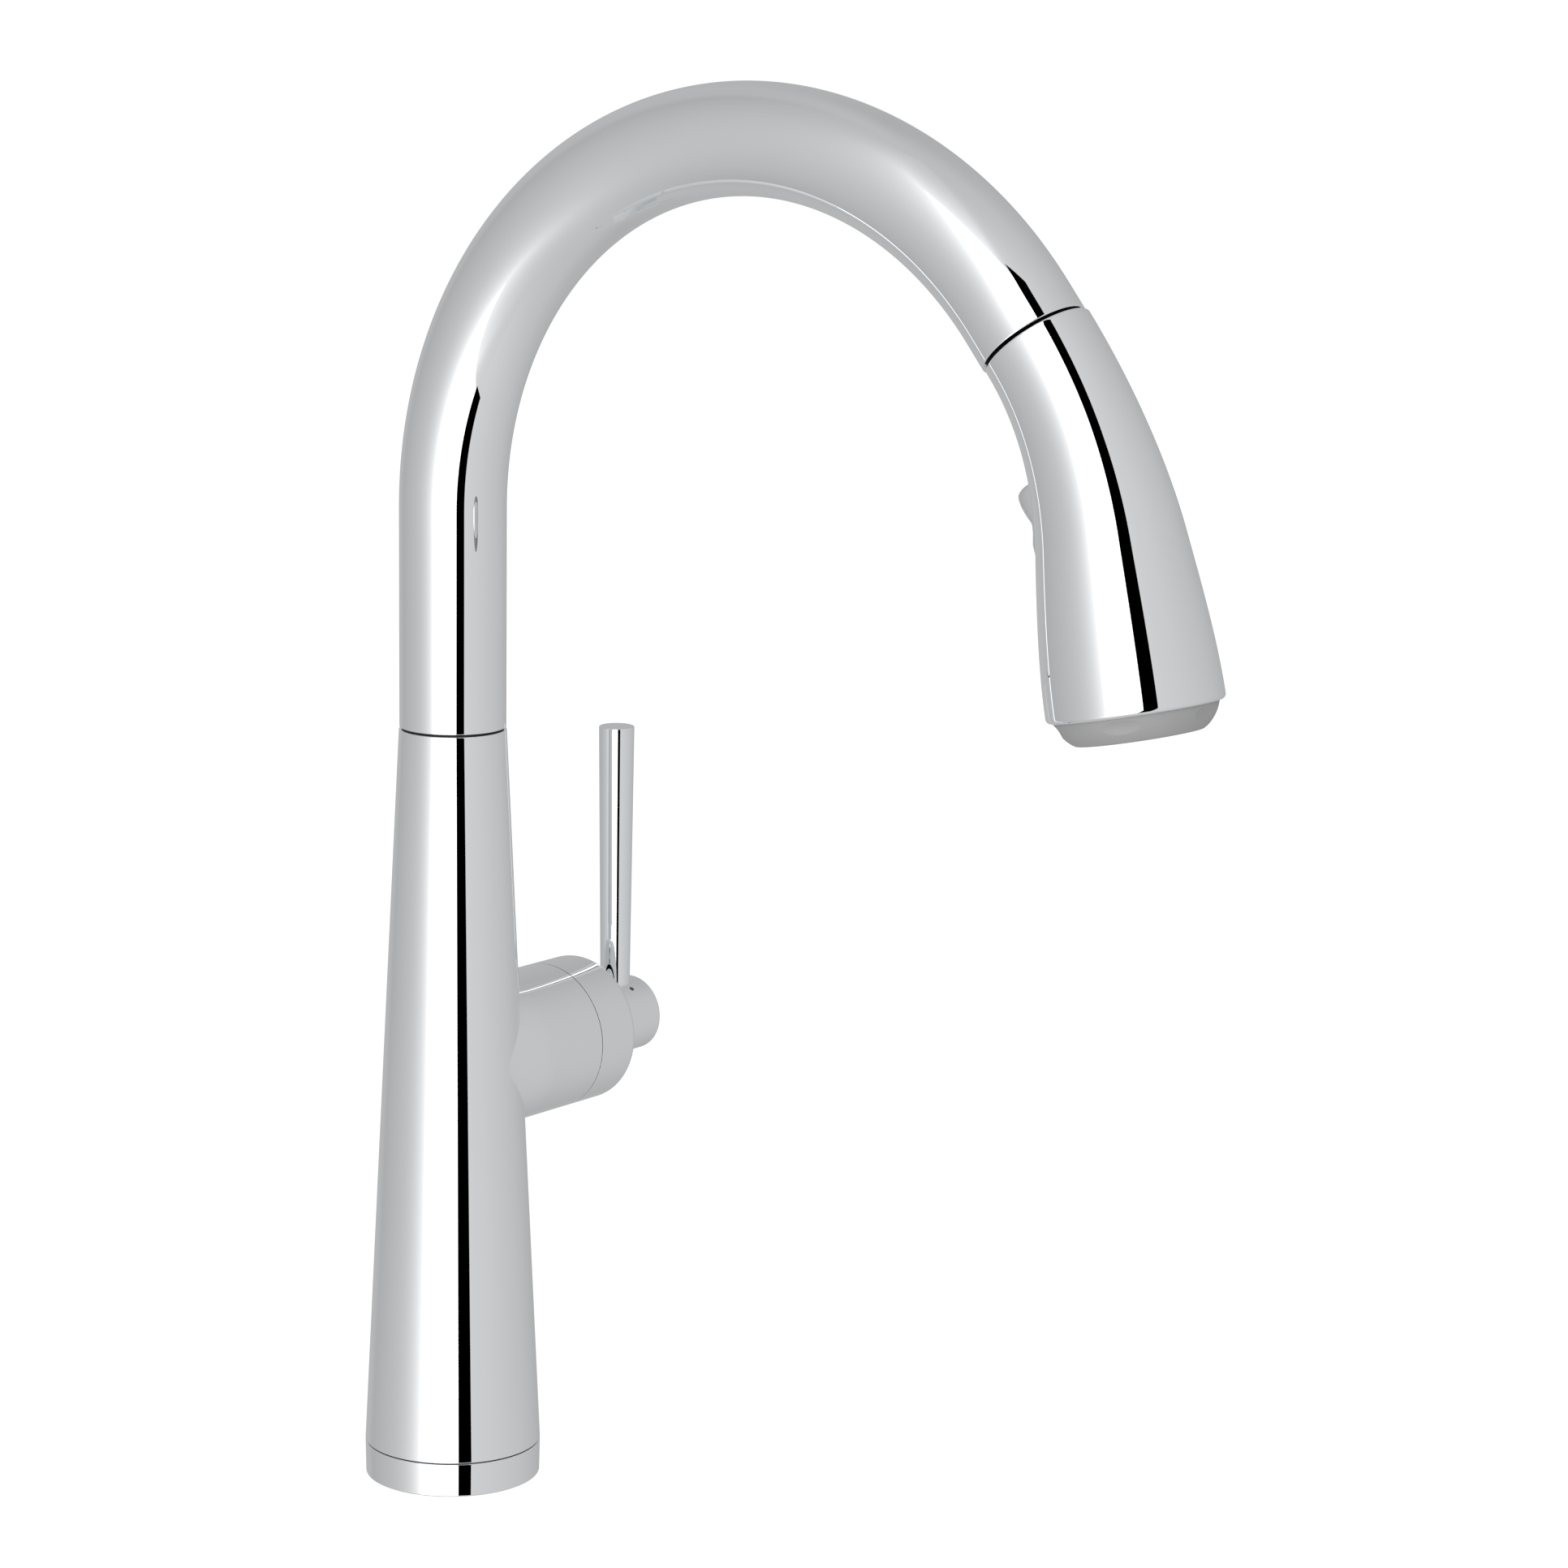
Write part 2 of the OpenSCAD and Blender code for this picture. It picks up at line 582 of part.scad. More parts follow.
module spray_nozzles() color("dimgray") at_head(head_len)
    for (n = nozzle_rings) for (i = [1:n[1]]) rotate([0, 0, 360 * i / n[1]]) translate([n[0], 0, 0])
        difference() {
            turned([[0, -0.2], [0.9, -0.2], [0.9, 4.8], [0.6, 6], [0, 6]]);
            translate([0, 0, -1]) cylinder(r = 0.35, h = 8);
        }

module aerator() color("silver") at_head(head_len) difference() {
    translate([0, 0, -0.2]) cylinder(r = 7.5, h = 5.8);
    translate([0, 0, -1]) cylinder(r = 5.5, h = 2.4);
    for (x = [-4:2:4], y = [-4:2:4]) if (norm([x, y]) < 5)
        translate([x - 0.7, y - 0.7, 0]) cube([1.4, 1.4, 8]);
}

// ---- Diverter ----

module diverter_spool() color("goldenrod") at_head(valve_s) translate([-4.5, 0, spool_z]) rotate([0, 90, 0])
    difference() {
        cylinder(r = spool_r, h = 15);
        translate([0, 0, 3.5]) ring(spool_r + cut, spool_r - 0.8, 0, 2);
    }

// Where the shell's inner side lies beside a station of the toggle, from the head's axis
function skin_x(z) = head_radius(valve_s + z) + z * z / (2 * head_r);

// A round-cornered bar across the toggle at z, from below the skin to a height above it
module toggle_bar(z, above, edge) hull()
    for (y = [-1, 1], x = [skin_x(z) - 2.6, skin_x(z) + above - edge])
        translate([x, y * (toggle_w / 2 - edge), z]) sphere(r = edge, $fn = hull_fn);

module toggle_button() color("lightgray") at_head(valve_s) difference() {
    edge = 0.6;
    end = toggle_len / 2 - edge;
    middle = 1.5;
    union() {
        hull() { // thumb ridge at the upper end
            toggle_bar(-end, 2, edge);
            toggle_bar(-7.6, toggle_out, edge);
            toggle_bar(-4.6, toggle_out - 0.3, edge);
            toggle_bar(middle, 0.8, edge);
        }
        hull() { // low lower half
            toggle_bar(middle, 0.8, edge);
            toggle_bar(6, 2, edge);
            toggle_bar(end, 1, edge);
        }
        translate([rock_x - 2.6, -3.6, -3]) cube([skin_x(0) - rock_x + 1, 7.2, 11]);
    }
    translate([rock_x, -10, 0]) rotate([-90, 0, 0]) cylinder(r = rock_pin_r + 0.05, h = 20);
}

base_gasket();
base_ring();
body_foot();
body_shell();
swivel_bush_lower();
swivel_bush_upper();
spout_washer();
spout_stop_screw();
valve_housing();
bonnet();
bonnet_gasket();
base_seal();
valve_block();
inlet_seals();
cartridge_body();
cartridge_nut();
ceramic_disc_fixed();
hot_pipe();
cold_pipe();
outlet_pipe();
hose_in_body();
hose_end_fitting();
shank();
deck_washer_rubber();
deck_washer_steel();
mounting_nut();
jack_screws();
cartridge_rotor();
ceramic_disc_moving();
tilt_pin();
cartridge_stem();
handle_knob();
lever_rod();
lever_set_screw();
index_marks();
neck_tube();
neck_spigot();
swivel_o_ring();
dock_collar();
dock_magnet();
hose_in_neck();
head_shell();
head_dock_stub();
dock_keeper();
hose_in_head();
hose_nut();
check_valve();
upper_waterway();
diverter_body();
lower_waterway();
toggle_pin();
spray_engine();
spray_bezel();
nozzle_plate();
spray_nozzles();
aerator();
diverter_spool();
toggle_button();
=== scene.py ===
"""Looks of the pull-down kitchen faucet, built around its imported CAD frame. Lengths are in millimetres."""

import json
import math

import bmesh
import bpy
import numpy as np
from mathutils import Matrix, Vector


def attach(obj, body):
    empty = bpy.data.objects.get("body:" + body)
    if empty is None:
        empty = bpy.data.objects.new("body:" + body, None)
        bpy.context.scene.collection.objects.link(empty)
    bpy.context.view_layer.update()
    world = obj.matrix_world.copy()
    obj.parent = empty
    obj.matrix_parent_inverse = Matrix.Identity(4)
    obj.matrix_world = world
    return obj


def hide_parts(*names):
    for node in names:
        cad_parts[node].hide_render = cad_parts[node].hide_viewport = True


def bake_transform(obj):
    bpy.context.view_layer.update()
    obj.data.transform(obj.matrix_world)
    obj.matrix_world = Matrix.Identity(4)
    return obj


MM = 0.001
SIDES = 160  # round a large part

# ---- The CAD's own dimensions, but with the dimples 0.2 further out ----
TUBE_R, TUBE_WALL = 16.0, 1.2
BEND_Z, BEND_R, BEND_ANGLE, TIP_LEN = 298.9, 113.8, math.radians(141), 10.0
BODY_Z0, BODY_Z1, BASE_R, BODY_TOP_R, BODY_WALL, BUSH_R = 10.5, 232.2, 26.8, 16.15, 2.0, 14.0
SEAT_LOW, SEAT_HIGH, NECK_Z0 = 188.0, 192.0, 232.8
RING_R, RING_TOP, RING_BORE, GASKET_R, GASKET_TOP = 26.6, 10.2, 17.3, 24.4, 6.0
HUB_Z, HUB_R, HUB_BORE, HUB_END = 129.2, 22.6, 19.4, 44.0
SEAM_HALF, SEAM_EDGE = 0.15, 0.06  # half the seam's width at the bonnet, and the rounding of its edges
FAIRING_R, FAIRING_Y = 21.0, 22.0
BONNET_IN, BONNET_END, BONNET_WALL, PIVOT_Y, BALL_R = 40.4, 60.9, 2.0, 57.0, 14.2
BALL_GAP, BALL_IN, BALL_CAVITY = 0.4, 5.0, 9.8
KNOB_R, KNOB_END, LEVER_Y, LEVER_TOP, LEVER_R0, LEVER_R1 = 11.7, 85.7, 77.0, 93.1, 4.6, 5.55
MARK_Y, MARK_R, MARK_ANGLE = 77.4, 0.8, math.radians(34)
HEAD_R, HEAD_ANGLE, HEAD_STRAIGHT, HEAD_SHIFT = 127.8, math.radians(27), 43.6, 0.6
HEAD_R0, HEAD_END_R, HEAD_WALL, DOCK_GAP = 16.1, 24.4, 1.6, 1.0
HEAD_ARC = HEAD_R * HEAD_ANGLE
HEAD_LEN = HEAD_ARC + HEAD_STRAIGHT
BEZEL_H, BEZEL_R, BEZEL_CURVE, BEZEL_RISE, PLATE_R = 7.0, 22.6, 12.0, 3.0, 16.3
DIMPLES, DIMPLE_TURN, DIMPLE_R, DIMPLE_AXIS_R, DIMPLE_AXIS_S = 5, math.radians(176), 6.0, 26.4, 5.07
VALVE_S, TOGGLE_LEN, TOGGLE_W, TOGGLE_GAP = 47.8, 21.0, 13.0, 0.6
HOSE_R, HOSE_BORE, HOSE_IN, HOSE_OUT = 5.2, 3.6, 14.8, 5.8

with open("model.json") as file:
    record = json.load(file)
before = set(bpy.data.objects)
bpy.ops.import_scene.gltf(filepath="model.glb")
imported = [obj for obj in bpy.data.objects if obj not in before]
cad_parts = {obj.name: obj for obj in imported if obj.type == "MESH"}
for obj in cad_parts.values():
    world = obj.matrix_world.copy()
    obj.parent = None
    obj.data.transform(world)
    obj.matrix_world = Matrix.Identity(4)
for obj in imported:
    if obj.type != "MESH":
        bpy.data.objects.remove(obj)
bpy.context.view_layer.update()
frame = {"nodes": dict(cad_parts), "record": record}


# ---- Axes that parts are turned about: a point at length s, radius r and angle a ----


def on_body(s, r, a):
    return np.stack([r * np.cos(a), r * np.sin(a), s + 0 * a], -1)


def on_hub(s, r, a):
    return np.stack([r * np.cos(a), s + 0 * a, HUB_Z + r * np.sin(a)], -1)


def on_neck(s, r, a):
    """s is the height on the straight part, and goes on round the bend and to the tip."""
    turn = np.clip((s - BEND_Z) / BEND_R, 0, BEND_ANGLE)
    past = np.clip(s - BEND_Z - BEND_R * BEND_ANGLE, 0, None)
    x = BEND_R * (1 - np.cos(turn)) + past * np.sin(turn)
    z = np.minimum(s, BEND_Z) + BEND_R * np.sin(turn) + past * np.cos(turn)
    out = r * np.cos(a)
    return np.stack([x + out * np.cos(turn), r * np.sin(a), z - out * np.sin(turn)], -1)


TIP_S = BEND_Z + BEND_R * BEND_ANGLE + TIP_LEN
NECK_END = TIP_S - DOCK_GAP
TIP = on_neck(np.array(TIP_S), 0.0, np.array(0.0))
PULL = np.array([math.sin(BEND_ANGLE), 0, math.cos(BEND_ANGLE)])
TIP_X = np.array([math.cos(BEND_ANGLE), 0, -math.sin(BEND_ANGLE)])


def on_head(s, r, a):
    """The head's axis: an arc from the neck's tip, then straight. Angle 0 is the side towards the riser."""
    turn = np.clip(s, 0, HEAD_ARC) / HEAD_R
    past = np.clip(s - HEAD_ARC, 0, None) + np.minimum(s, 0)
    x = HEAD_R * (1 - np.cos(turn)) + past * np.sin(turn) + r * np.cos(a) * np.cos(turn) - HEAD_SHIFT
    z = HEAD_R * np.sin(turn) + past * np.cos(turn) - r * np.cos(a) * np.sin(turn)
    return TIP + x[..., None] * TIP_X + z[..., None] * PULL + np.stack([0 * x, r * np.sin(a), 0 * x], -1)


def head_radius(s):
    u = np.clip(s / HEAD_LEN, 0, 1) ** 1.13
    return HEAD_R0 + (HEAD_END_R - HEAD_R0) * (3 - 2 * u) * u * u


def body_radius(z):
    return BASE_R + (BODY_TOP_R - BASE_R) * (z - BODY_Z0) / (BODY_Z1 - BODY_Z0)


# ---- Mesh building ----


def make(name, verts, faces, material, body, stands_for=(), sharp=38):
    """A piece from points in millimetres. Doubled points are merged and the faces turned outwards."""
    mesh = bpy.data.meshes.new(name)
    mesh.from_pydata((np.asarray(verts).reshape(-1, 3) * MM).tolist(), [], faces)
    bm = bmesh.new()
    bm.from_mesh(mesh)
    bmesh.ops.remove_doubles(bm, verts=bm.verts, dist=1e-7)
    bmesh.ops.dissolve_degenerate(bm, edges=bm.edges, dist=1e-8)
    bmesh.ops.recalc_face_normals(bm, faces=bm.faces)
    bm.to_mesh(mesh)
    bm.free()
    mesh.shade_smooth()
    mesh.set_sharp_from_angle(angle=math.radians(sharp))
    mesh.materials.append(material)
    piece = bpy.data.objects.new(name, mesh)
    bpy.context.scene.collection.objects.link(piece)
    weighted = piece.modifiers.new("weighted", "WEIGHTED_NORMAL")
    weighted.keep_sharp = True
    if body:
        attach(piece, body)
    if stands_for:
        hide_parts(*stands_for)
    return piece


def rounded(corners, steps=5):
    """A closed outline from (s, r, radius) corners, with an arc at each corner that has a radius."""
    points = np.array([c[:2] for c in corners], float)
    out = []
    for i, corner in enumerate(corners):
        here, radius = points[i], corner[2] if len(corner) > 2 else 0
        if not radius:
            out.append(here)
            continue
        back, on = points[i - 1] - here, points[(i + 1) % len(points)] - here
        back, on = back / np.linalg.norm(back), on / np.linalg.norm(on)
        half = math.acos(np.clip(back @ on, -1, 1)) / 2
        centre = here + (back + on) / np.linalg.norm(back + on) * radius / math.sin(half)
        start = here + back * radius / math.tan(half) - centre
        end = here + on * radius / math.tan(half) - centre
        sweep = math.pi - 2 * half
        for k in range(steps + 1):
            t = k / steps
            arm = math.sin((1 - t) * sweep) * start + math.sin(t * sweep) * end
            out.append(centre + arm / math.sin(sweep))
    return np.array(out)


def dense(outline, step):
    """The same outline with no stretch longer than step."""
    out = []
    for p, q in zip(outline, np.roll(outline, -1, 0)):
        n = max(1, math.ceil(np.linalg.norm(q - p) / step))
        out += [p + (q - p) * k / n for k in range(n)]
    return np.array(out)


def ring_faces(count, sides):
    """Quads that join each ring of points to the next one, and the last ring to the first."""
    faces = []
    for i in range(count):
        here, after = i * sides, (i + 1) % count * sides
        for j in range(sides):
            k = (j + 1) % sides
            faces.append((here + j, here + k, after + k, after + j))
    return faces


def turned(name, outline, place, material, body, stands_for=(), sides=SIDES, carve=None):
    """A closed (s, r) outline turned all round an axis."""
    s, r = np.repeat(outline[:, :1], sides, 1), np.repeat(outline[:, 1:], sides, 1)
    a = np.tile(np.arange(sides) * 2 * math.pi / sides, (len(outline), 1))
    if carve:
        r = carve(s, r, a)
    return make(name, place(s, r, a), ring_faces(len(outline), sides), material, body, stands_for)


def shell(name, rows, place, angles, opening, material, body, stands_for):
    """A wall between two surfaces, from (s, outer r, inner r) rows, without the cells that opening() picks."""
    rows = np.array(rows, float)
    m, n = len(rows), len(angles(rows[0, 0]))
    a = np.array([angles(s) for s in rows[:, 0]])
    s = np.repeat(rows[:, :1], n, 1)
    outside, inside = place(s, rows[:, 1:2] + 0 * a, a), place(s, rows[:, 2:3] + 0 * a, a)
    verts = np.concatenate([outside, inside]).reshape(-1, 3)
    inner = m * n
    open_cell = [[opening((rows[i, 0] + rows[i + 1, 0]) / 2, j) for j in range(n)] for i in range(m - 1)]
    faces = []
    for i in range(m - 1):
        for j in range(n):
            k = (j + 1) % n
            p, q, u, v = i * n + j, i * n + k, (i + 1) * n + k, (i + 1) * n + j
            if open_cell[i][j]:
                continue
            faces += [(p, q, u, v), (inner + p, inner + v, inner + u, inner + q)]
            if open_cell[i][k]:
                faces.append((q, inner + q, inner + u, u))
            if open_cell[i][j - 1]:
                faces.append((p, v, inner + v, inner + p))
            if i + 1 < m - 1 and open_cell[i + 1][j]:
                faces.append((v, u, inner + u, inner + v))
            if i and open_cell[i - 1][j]:
                faces.append((p, inner + p, inner + q, q))
    for j in range(n):
        k, last = (j + 1) % n, (m - 1) * n
        faces += [(j, inner + j, inner + k, k), (last + j, last + k, inner + last + k, inner + last + j)]
    return make(name, verts, faces, material, body, stands_for)


def even(n):
    return lambda s: np.arange(n) * 2 * math.pi / n


# ---- Materials ----


class Paint:
    """A node material with a Principled shader, and short calls for the nodes that feed it."""

    def __init__(self, name, **sockets):
        self.material = bpy.data.materials.new(name)
        self.material.use_nodes = True
        self.nodes, self.links = self.material.node_tree.nodes, self.material.node_tree.links
        self.shader = self.nodes["Principled BSDF"]
        for key, value in sockets.items():
            self.shader.inputs[key.replace("_", " ")].default_value = value
        self.object_space = self.nodes.new("ShaderNodeTexCoord").outputs["Object"]

    def node(self, kind, inputs=None, **settings):
        made = self.nodes.new(kind)
        for key, value in settings.items():
            setattr(made, key, value)
        for key, value in (inputs or {}).items():
            if isinstance(value, bpy.types.NodeSocket):
                self.links.new(value, made.inputs[key])
            else:
                made.inputs[key].default_value = value
        return made

    def noise(self, scale, detail=3.0, space=None, roughness=0.5):
        inputs = {"Vector": space or self.object_space, "Scale": scale, "Detail": detail,
                  "Roughness": roughness}
        return self.node("ShaderNodeTexNoise", inputs).outputs["Fac"]

    def spread(self, value, low, high, from_low=0.3, from_high=0.7):
        inputs = {"Value": value, "From Min": from_low, "From Max": from_high, "To Min": low, "To Max": high}
        return self.node("ShaderNodeMapRange", inputs).outputs["Result"]

    def blend(self, factor, one, two):
        made = self.node("ShaderNodeMix", data_type="RGBA")
        for i, value in ((0, factor), (6, one), (7, two)):
            if isinstance(value, bpy.types.NodeSocket):
                self.links.new(value, made.inputs[i])
            else:
                made.inputs[i].default_value = value
        return made.outputs[2]

    def bump(self, height, strength, distance):
        made = self.node("ShaderNodeBump", {"Height": height, "Strength": strength, "Distance": distance})
        self.links.new(made.outputs["Normal"], self.shader.inputs["Normal"])

    def set(self, socket, value):
        self.links.new(value, self.shader.inputs[socket])


def rgb(r, g, b):
    return (r, g, b, 1.0)


def metal(name, light, dark, rough_low, rough_high, grain=900.0, bump=0.0, stretch=None):
    """Metal whose colour and gloss vary softly, with a fine grain that can run along one direction."""
    p = Paint(name, Metallic=1.0)
    space = p.object_space
    if stretch:
        space = p.node("ShaderNodeMapping", {"Vector": space, "Scale": stretch}).outputs["Vector"]
    p.set("Base Color", p.blend(p.spread(p.noise(35.0), 0.0, 1.0), light, dark))
    fine = p.noise(grain, 4.0, space)
    p.set("Roughness", p.spread(fine, rough_low, rough_high))
    if bump:
        p.bump(fine, bump, 0.0002)
    return p.material


def plastic(name, light, dark, rough_low, rough_high, grain=1500.0, bump=0.15, **sockets):
    """Moulded plastic or rubber with a fine surface texture and a slight change of shade."""
    p = Paint(name, **sockets)
    p.set("Base Color", p.blend(p.spread(p.noise(60.0, 4.0), 0.0, 1.0), light, dark))
    fine = p.noise(grain, 5.0)
    p.set("Roughness", p.spread(fine, rough_low, rough_high))
    p.bump(fine, bump, 0.00015)
    return p.material


def braid(name):
    """Braided sleeve of the spray hose: two sets of strands that cross, wound round the hose's own axis."""
    p = Paint(name, Metallic=0.35)
    local = p.node("ShaderNodeMapping", {
        "Vector": p.object_space,
        "Location": [-c * MM for c in TIP],
    }, vector_type="POINT").outputs["Vector"]
    local = p.node("ShaderNodeMapping", {"Vector": local, "Rotation": (0, -BEND_ANGLE, 0)}).outputs["Vector"]
    parts = p.node("ShaderNodeSeparateXYZ", {"Vector": local}).outputs
    around = p.node("ShaderNodeMath", {0: parts["Y"], 1: parts["X"]}, operation="ARCTAN2").outputs[0]
    heights = []
    for lean in (1, -1):
        along = p.node("ShaderNodeMath", {0: parts["Z"], 1: lean * 1300.0}, operation="MULTIPLY").outputs[0]
        twist = p.node("ShaderNodeMath", {0: around, 1: 8.0, 2: along}, operation="MULTIPLY_ADD").outputs[0]
        heights.append(p.node("ShaderNodeMath", {0: twist}, operation="SINE").outputs[0])
    weave = p.node("ShaderNodeMath", {0: heights[0], 1: heights[1]}, operation="MAXIMUM").outputs[0]
    strand = p.spread(weave, 0.0, 1.0, -0.4, 1.0)
    p.set("Base Color", p.blend(strand, rgb(0.05, 0.05, 0.055), rgb(0.42, 0.43, 0.45)))
    p.set("Roughness", p.spread(weave, 0.6, 0.32, -0.4, 1.0))
    p.bump(weave, 0.6, 0.0004)
    return p.material


def chrome_plate():
    p = Paint("chrome", Metallic=1.0)
    tint = p.spread(p.noise(22.0, 2.0), 0.0, 1.0)
    p.set("Base Color", p.blend(tint, rgb(0.925, 0.943, 0.960), rgb(0.912, 0.931, 0.949)))
    wiped = p.node("ShaderNodeMapping", {"Vector": p.object_space, "Scale": (900.0, 900.0, 60.0)})
    wiped = wiped.outputs["Vector"]
    smear = p.blend(0.5, p.noise(45.0, 3.0), p.noise(1.0, 2.0, wiped))
    p.set("Roughness", p.spread(smear, 0.003, 0.014))
    return p.material


PAINTS = {
    "chrome": chrome_plate(),
    "brass": metal("brass", rgb(0.78, 0.58, 0.27), rgb(0.70, 0.50, 0.21),
                   0.16, 0.34, 500.0, 0.25, (1, 1, 14)),
    "copper": metal("copper", rgb(0.83, 0.43, 0.27), rgb(0.70, 0.33, 0.20),
                    0.18, 0.36, 300.0, 0.12, (14, 14, 1)),
    "steel": metal("steel", rgb(0.62, 0.62, 0.63), rgb(0.54, 0.54, 0.55), 0.22, 0.42, 700.0, 0.2),
    "magnet": metal("magnet", rgb(0.46, 0.46, 0.47), rgb(0.38, 0.38, 0.39), 0.2, 0.35, 600.0, 0.1),
    "rubber": plastic("rubber", rgb(0.022, 0.022, 0.023), rgb(0.03, 0.03, 0.031), 0.6, 0.85, 1800.0, 0.25),
    "spray_grey": plastic("spray_grey", rgb(0.40, 0.40, 0.402), rgb(0.375, 0.375, 0.377),
                          0.42, 0.6, 2200.0, 0.1),
    "nozzle_grey": plastic("nozzle_grey", rgb(0.16, 0.16, 0.165), rgb(0.13, 0.13, 0.134),
                           0.45, 0.65, 1800.0, 0.15),
    "dark_plastic": plastic("dark_plastic", rgb(0.006, 0.006, 0.0065), rgb(0.009, 0.009, 0.0095), 0.55, 0.75),
    "white_plastic": plastic("white_plastic", rgb(0.78, 0.77, 0.73), rgb(0.72, 0.71, 0.67), 0.3, 0.45),
    "toggle_plastic": metal("toggle_plastic", rgb(0.80, 0.815, 0.83), rgb(0.77, 0.785, 0.80),
                            0.1, 0.2, 1200.0, 0.05),
    "ceramic": plastic("ceramic", rgb(0.86, 0.85, 0.81), rgb(0.80, 0.79, 0.75), 0.12, 0.22, 1500.0, 0.05),
    "hose": braid("hose"),
    "mark": plastic("mark", rgb(0.06, 0.06, 0.065), rgb(0.09, 0.09, 0.095), 0.35, 0.5),
}

for part in frame["record"]["subparts"]:
    node = frame["nodes"][part["node"]]
    node.data.materials.clear()
    node.data.materials.append(PAINTS[part["material_slot"]])

CHROME = PAINTS["chrome"]

# ---- Base and body ----

ring = [(0.0, GASKET_R), (0.0, RING_R, 0.35), (RING_TOP, BASE_R, 0.3), (RING_TOP, RING_BORE),
        (GASKET_TOP, RING_BORE), (GASKET_TOP, GASKET_R)]
turned("base_ring_skin", rounded(ring), on_body, CHROME, "body", ["base_ring"])

EDGE = 0.35  # rounding of the ends of body and neck
EDGE_TURNS = np.linspace(0, math.pi / 2, 5)
body_rows = []
for t in EDGE_TURNS:
    z, r = BODY_Z0 + EDGE * (1 - math.cos(t)), body_radius(BODY_Z0) - EDGE * (1 - math.sin(t))
    body_rows.append((z, r, BASE_R - BODY_WALL))
for z in [*np.linspace(BODY_Z0 + 2, SEAT_LOW, 100), *np.linspace(SEAT_HIGH, BODY_Z1 - 2, 12)]:
    body_rows.append((z, body_radius(z), BUSH_R if z > SEAT_LOW else body_radius(z) - BODY_WALL))
for t in EDGE_TURNS:
    z, r = BODY_Z1 - EDGE * (1 - math.sin(t)), body_radius(BODY_Z1) - EDGE * (1 - math.cos(t))
    body_rows.append((z, r, BUSH_R))


def hub_hole(z, j):
    """The hole in the body behind the valve housing, which hides its edge."""
    turn = (j + 0.5) * 2 * math.pi / SIDES
    x, y = body_radius(z) * math.cos(turn), body_radius(z) * math.sin(turn)
    return y > 0 and math.hypot(x, z - HUB_Z) < HUB_BORE


shell("body_skin", body_rows, on_body, even(SIDES), hub_hole, CHROME, "body", ["body_shell"])

# ---- Valve housing, with its saddle on the body ----

turns = np.arange(SIDES) * 2 * math.pi / SIDES


def saddle(r):
    """Where a tube of radius r about the handle's axis comes out of the body, a little inside its surface."""
    reach = (body_radius(HUB_Z + r * np.sin(turns)) - 0.4) ** 2 - (r * np.cos(turns)) ** 2
    return np.sqrt(np.clip(reach, 0, None))


def fairing(y):
    """The housing starts inside the body and widens smoothly to the hub's radius."""
    u = np.clip(y / FAIRING_Y, 0, 1)
    return FAIRING_R + (HUB_R - FAIRING_R) * (3 - 2 * u) * u * u


end = HUB_END - SEAM_HALF
rings = []
for s in np.linspace(0, 1, 60) ** 1.5:
    y = saddle(HUB_R) * (1 - s) + (end - SEAM_EDGE) * s
    rings.append(np.stack([y, fairing(y)], -1))
for lean in (0.5, 1.0, math.pi / 2):
    y, r = end - SEAM_EDGE * (1 - math.sin(lean)), HUB_R - SEAM_EDGE * (1 - math.cos(lean))
    rings.append(np.stack([y + 0 * turns, r + 0 * turns], -1))
rings.append(np.stack([end + 0 * turns, HUB_BORE + 0 * turns], -1))
rings.append(np.stack([saddle(HUB_BORE), HUB_BORE + 0 * turns], -1))
grid = np.array([on_hub(q[:, 0], q[:, 1], turns) for q in rings])
make("housing_skin", grid, ring_faces(len(rings), SIDES), CHROME, "body", ["valve_housing"])

low = HUB_END + SEAM_HALF
mouth = BALL_R + BALL_GAP
bonnet = rounded([
    (BONNET_IN, 17.6), (BONNET_IN, 19.3), (low, 19.3), (low, HUB_R, SEAM_EDGE), (BONNET_END, HUB_R, 2.6),
    (BONNET_END, mouth, 0.4), (BONNET_END - BONNET_WALL, mouth), (BONNET_END - BONNET_WALL, 20.0),
    (low + 1.5, 20.0), (low + 1.5, 17.6),
], 10)
turned("bonnet_skin", dense(bonnet, 6), on_hub, CHROME, "body", ["bonnet"])

# ---- Handle ----

knob_start = math.sqrt(BALL_R**2 - KNOB_R**2)
ball_turns = np.linspace(-math.asin(BALL_IN / BALL_R), math.asin(knob_start / BALL_R), 20)
hollow_turns = np.linspace(math.pi / 2, 0, 16)
ball = [(PIVOT_Y + BALL_R * math.sin(t), BALL_R * math.cos(t)) for t in ball_turns]
hollow = [(PIVOT_Y + BALL_CAVITY * math.sin(t), BALL_CAVITY * math.cos(t)) for t in hollow_turns]
hollow.append((PIVOT_Y - BALL_IN, BALL_CAVITY + 0.2))
outer = rounded([(PIVOT_Y, 0.0), (PIVOT_Y, KNOB_R), (KNOB_END, KNOB_R, 0.8), (KNOB_END, 0.0)], 6)[2:-1]
knob = np.array(ball + [tuple(p) for p in outer] + [(KNOB_END, 0.0)] + hollow)
turned("knob_skin", dense(knob, 3), on_hub, CHROME, "handle", ["handle_knob"], 128)


def on_lever(s, r, a):
    return np.stack([r * np.cos(a), LEVER_Y + r * np.sin(a), HUB_Z + s + 0 * a], -1)


lever = rounded([(7.0, 0.0), (7.0, LEVER_R0), (LEVER_TOP, LEVER_R1, 0.45), (LEVER_TOP, 0.0)], 5)
turned("lever_skin", dense(lever, 5), on_lever, CHROME, "handle", ["lever_rod"], 96)

